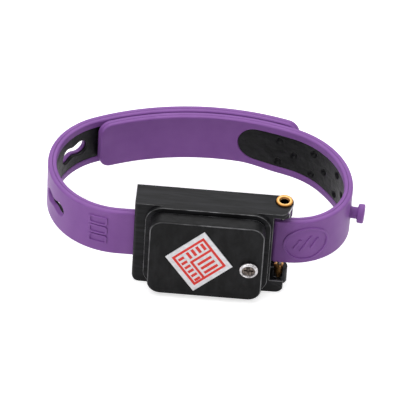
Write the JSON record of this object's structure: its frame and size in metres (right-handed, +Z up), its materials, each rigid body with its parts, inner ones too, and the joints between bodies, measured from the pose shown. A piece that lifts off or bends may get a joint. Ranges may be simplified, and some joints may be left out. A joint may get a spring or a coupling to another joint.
{
  "type": "esd wrist strap",
  "caption": "Adjustable grounding wrist strap: two lined silicone straps that button into a wrist loop, on a small resistor housing with a screwed cover and a brass cord socket.",
  "frame": {"origin": "middle of the housing's flat underside, at mid-depth of its base", "axes": "+X along the housing to its socket end, +Y back through the wrist loop, +Z up along the straps' pins"},
  "size_m": [0.0747, 0.0506, 0.0242],
  "materials": {
    "shell": "fine satin moulding",
    "screw_steel": "bright plated",
    "label": "printed film, plain",
    "brass": "turned, bright",
    "pin_steel": "ground",
    "board": "solder mask",
    "resistor": "lacquered",
    "spring_brass": "rolled strip",
    "silicone": "soft satin silicone",
    "liner": "matte carbon-filled silicone"
  },
  "bodies": {
    "housing": {"housing_base": "shell", "housing_cover": "shell", "cover_screw": "screw_steel", "cover_label": "label", "socket_bush": "brass", "lower_bush": "brass", "stud_strap_pin": "pin_steel", "slotted_strap_pin": "pin_steel", "circuit_board": "board", "resistors": "resistor", "stud_strap_spring": "spring_brass", "slotted_strap_spring": "spring_brass", "slotted_strap_root": "silicone", "slotted_root_core": "liner"},
    "slotted_strap": {"slotted_strap_outer": "silicone", "slotted_strap_inner": "silicone", "slotted_strap_liner": "liner"},
    "stud_strap": {"stud_strap_outer": "silicone", "stud_strap_inner": "silicone", "stud_strap_liner": "liner", "free_stud": "silicone", "engaged_studs": "silicone"}
  },
  "joints": [
    {"name": "slotted_strap_bend", "type": "hinge", "parent": "housing", "child": "slotted_strap", "pos_m": [-0.02, -0.00126, 0.01213], "axis": [0, 0, 1], "range_deg": [0, 75], "stiffness_Nm_per_rad": 0.004, "springref_deg": -11.46, "deforming": ["engaged_studs"]},
    {"name": "stud_strap_swing", "type": "hinge", "parent": "housing", "child": "stud_strap", "pos_m": [0.01695, 0.00133, 0.01213], "axis": [0, 0, 1], "range_deg": [0, 18], "deforming": ["engaged_studs"]}
  ]
}
